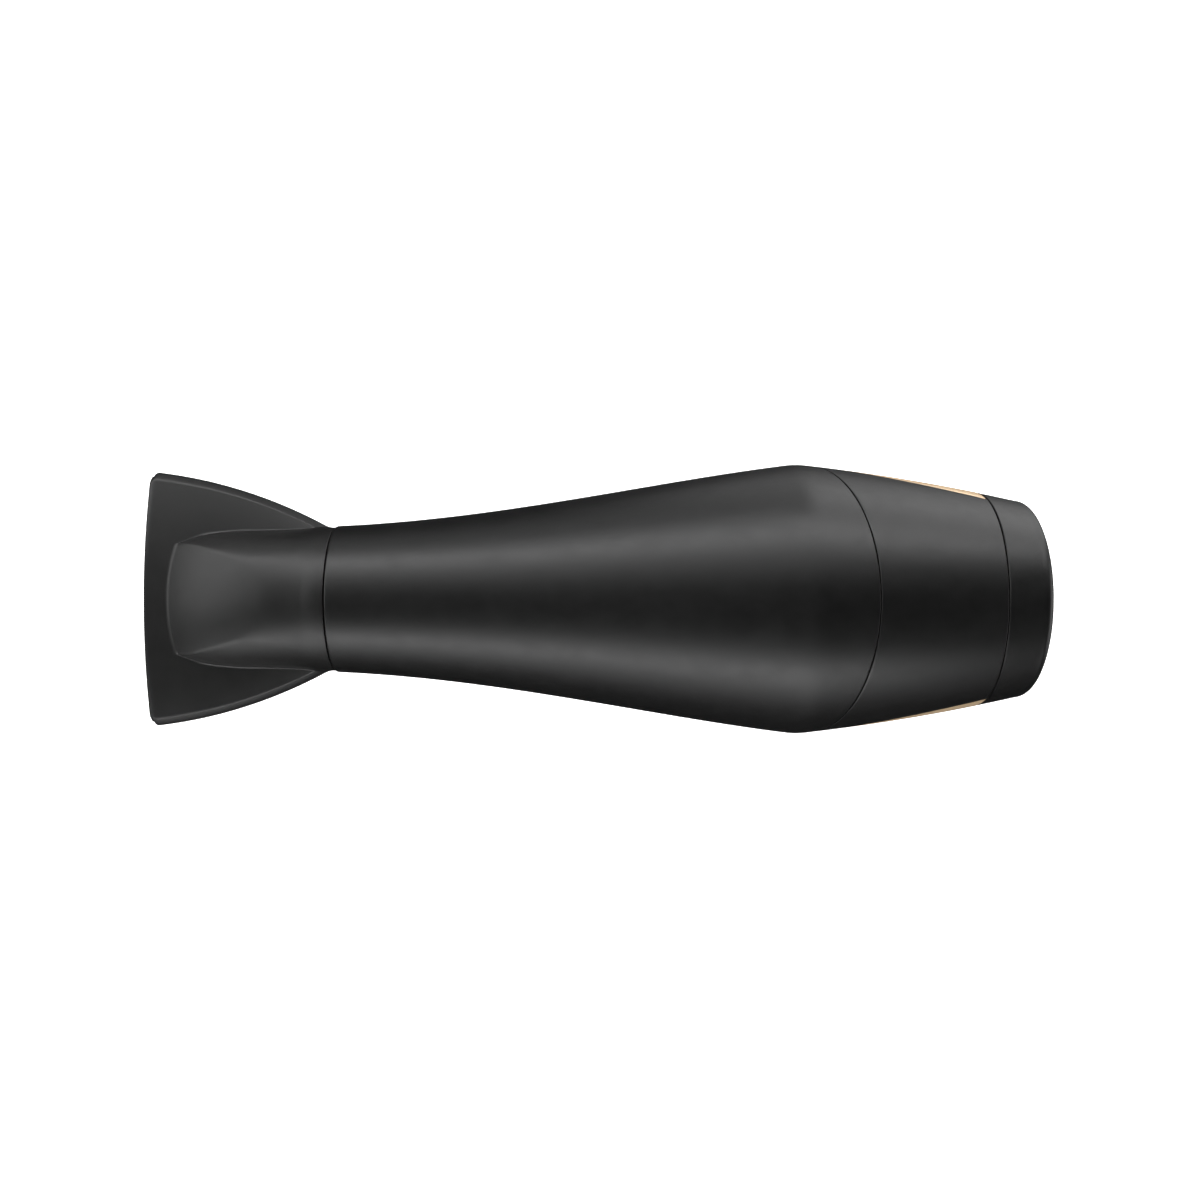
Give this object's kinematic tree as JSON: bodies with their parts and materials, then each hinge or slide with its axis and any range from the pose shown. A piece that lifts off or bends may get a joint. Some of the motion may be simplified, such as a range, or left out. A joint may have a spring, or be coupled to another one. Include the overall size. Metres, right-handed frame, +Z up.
{
  "type": "hair dryer",
  "caption": "Pistol-grip hair dryer with a flared air-concentrating nozzle, a tapered round barrel, champagne side trims, a removable intake cap and a tilted handle.",
  "frame": {"origin": "centre of the air outlet: the front face of the outlet grille's hub, on the barrel's axis and level with the barrel's front edge", "axes": "+X runs back along the barrel to the air intake, -X points out of the nozzle, +Z is up with the handle pointing down, +Y is to the right of someone aiming the nozzle away"},
  "size_m": [0.2855, 0.0878, 0.2258],
  "materials": {
    "housing_plastic": "fine satin moulding",
    "cap_plastic": "fine matt moulding",
    "heat_plastic": "matt heat-resistant moulding",
    "fan_plastic": "glass-filled moulding",
    "champagne_trim": "metallic champagne lacquer",
    "switch_plastic": "polished moulding",
    "soft_rubber": "soft moulded",
    "mica_board": "pressed mica",
    "steel": "drawn and stamped",
    "resistance_wire": "oxidised",
    "copper_alloy": "machined",
    "carbon_block": "pressed carbon",
    "blue_sleeve": "wire insulation",
    "brown_sleeve": "wire insulation"
  },
  "bodies": {
    "dryer": {"outlet_sleeve": "heat_plastic", "outlet_grille": "steel", "front_housing": "housing_plastic", "rear_housing": "housing_plastic", "left_housing_screw": "steel", "right_housing_screw": "steel", "left_side_trim": "champagne_trim", "right_side_trim": "champagne_trim", "heat_shield": "mica_board", "mica_frame": "mica_board", "heating_coil": "resistance_wire", "thermostat": "steel", "thermal_fuse": "steel", "guide_vane_housing": "heat_plastic", "rectifier_board": "switch_plastic", "motor_can": "steel", "motor_end_plate": "heat_plastic", "stator_ring": "steel", "front_bearing": "copper_alloy", "rear_bearing": "copper_alloy", "upper_brush": "carbon_block", "lower_brush": "carbon_block", "motor_lead": "blue_sleeve", "heater_lead": "brown_sleeve", "grip_front": "housing_plastic", "grip_back": "housing_plastic", "switch_bezel": "cap_plastic", "heat_switch": "switch_plastic", "speed_switch": "switch_plastic", "cool_shot_spring": "steel", "cool_shot_switch": "switch_plastic", "upper_grip_screw": "steel", "lower_grip_screw": "steel", "foot_cap": "cap_plastic", "cord_gland": "soft_rubber", "hanging_loop": "soft_rubber", "suppression_capacitor": "mica_board"},
    "snap_ring": {"nozzle_snap_ring": "steel"},
    "nozzle": {"nozzle_shell": "housing_plastic"},
    "intake_cap": {"rear_cap": "cap_plastic", "filter_ring": "cap_plastic", "filter_mesh": "steel"},
    "heat_key": {"heat_rocker": "switch_plastic"},
    "speed_key": {"speed_rocker": "switch_plastic"},
    "cool_key": {"cool_shot_button": "switch_plastic"},
    "rotor": {"motor_shaft": "steel", "armature_core": "steel", "commutator": "copper_alloy", "fan": "fan_plastic", "fan_clip": "steel"}
  },
  "joints": [
    {"name": "nozzle_turn", "type": "hinge", "parent": "dryer", "child": "snap_ring", "pos_m": [-0.007, 0, 0], "axis": [1, 0, 0], "continuous": true},
    {"name": "nozzle_pull", "type": "slide", "parent": "snap_ring", "child": "nozzle", "axis": [-1, 0, 0], "range_m": [0, 0.03]},
    {"name": "cap_pull", "type": "slide", "parent": "dryer", "child": "intake_cap", "axis": [1, 0, 0], "range_m": [0, 0.025]},
    {"name": "heat_rock", "type": "hinge", "parent": "dryer", "child": "heat_key", "pos_m": [0.11528, 0, -0.07418], "axis": [0, 1, 0], "range_deg": [-9, 9]},
    {"name": "speed_rock", "type": "hinge", "parent": "dryer", "child": "speed_key", "pos_m": [0.11071, 0, -0.0957], "axis": [0, 1, 0], "range_deg": [-9, 9]},
    {"name": "cool_press", "type": "slide", "parent": "dryer", "child": "cool_key", "axis": [0.9781, 0, -0.2079], "range_m": [0, 0.0025], "stiffness_N_per_m": 400, "springref_m": -0.001, "deforming": ["cool_shot_spring"]},
    {"name": "fan_spin", "type": "hinge", "parent": "dryer", "child": "rotor", "pos_m": [0.15, 0, 0], "axis": [1, 0, 0], "continuous": true}
  ]
}
